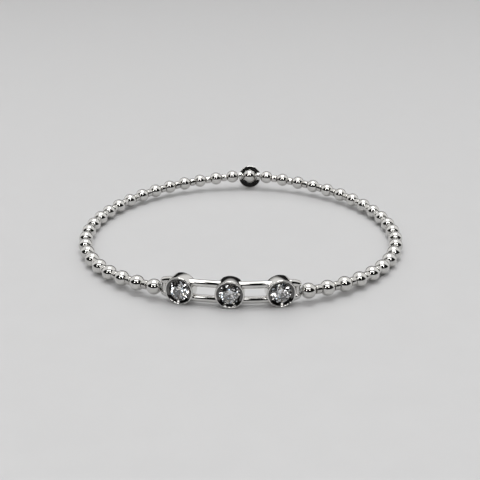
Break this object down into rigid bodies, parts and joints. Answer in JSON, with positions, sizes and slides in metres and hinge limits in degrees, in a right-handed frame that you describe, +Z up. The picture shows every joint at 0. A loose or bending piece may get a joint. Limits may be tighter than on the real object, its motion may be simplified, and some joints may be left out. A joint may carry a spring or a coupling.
{
  "type": "stretch bracelet",
  "caption": "Stretch bracelet of polished round metal beads on an elastic, with a two-rail station of round bezel-set clear stones at the front and a plain round tag at the back.",
  "frame": {"origin": "middle of the underside of the bracelet as it lies, at the centre of its bounding box in X and Y", "axes": "+Z up, square to the surface it lies on; the stones face -Y, and the tag faces +Y and 25 degrees down; +X to the right seen from the stones' side"},
  "size_m": [0.062, 0.063, 0.0049],
  "materials": {
    "bead_white_gold": "mirror-polished white gold with fine handling scratches",
    "spacer_white_gold": "polished white gold, softer where it rubs the beads",
    "bezel_white_gold": "mirror-polished white gold, bright-cut rims",
    "tag_white_gold": "polished white gold, bare face",
    "clear_stone": "clear round brilliant cut"
  },
  "bodies": {
    "root": {"station_frame": "bezel_white_gold", "stone_left": "clear_stone", "stone_centre": "clear_stone", "stone_right": "clear_stone", "elastic_core": "spacer_white_gold", "tag": "tag_white_gold", "bead_01": "bead_white_gold", "bead_02": "bead_white_gold", "bead_03": "bead_white_gold", "bead_04": "bead_white_gold", "bead_05": "bead_white_gold", "bead_06": "bead_white_gold", "bead_07": "bead_white_gold", "bead_08": "bead_white_gold", "bead_09": "bead_white_gold", "bead_10": "bead_white_gold", "bead_11": "bead_white_gold", "bead_12": "bead_white_gold", "bead_13": "bead_white_gold", "bead_14": "bead_white_gold", "bead_15": "bead_white_gold", "bead_16": "bead_white_gold", "bead_17": "bead_white_gold", "bead_18": "bead_white_gold", "bead_19": "bead_white_gold", "bead_20": "bead_white_gold", "bead_21": "bead_white_gold", "bead_22": "bead_white_gold", "bead_23": "bead_white_gold", "bead_24": "bead_white_gold", "bead_25": "bead_white_gold", "bead_26": "bead_white_gold", "bead_27": "bead_white_gold", "bead_28": "bead_white_gold", "bead_29": "bead_white_gold", "bead_30": "bead_white_gold", "bead_31": "bead_white_gold", "bead_32": "bead_white_gold", "bead_33": "bead_white_gold", "bead_34": "bead_white_gold", "bead_35": "bead_white_gold", "bead_36": "bead_white_gold", "bead_37": "bead_white_gold", "bead_38": "bead_white_gold", "bead_39": "bead_white_gold", "bead_40": "bead_white_gold", "bead_41": "bead_white_gold", "bead_42": "bead_white_gold", "bead_43": "bead_white_gold", "bead_44": "bead_white_gold", "bead_45": "bead_white_gold"}
  },
  "joints": []
}
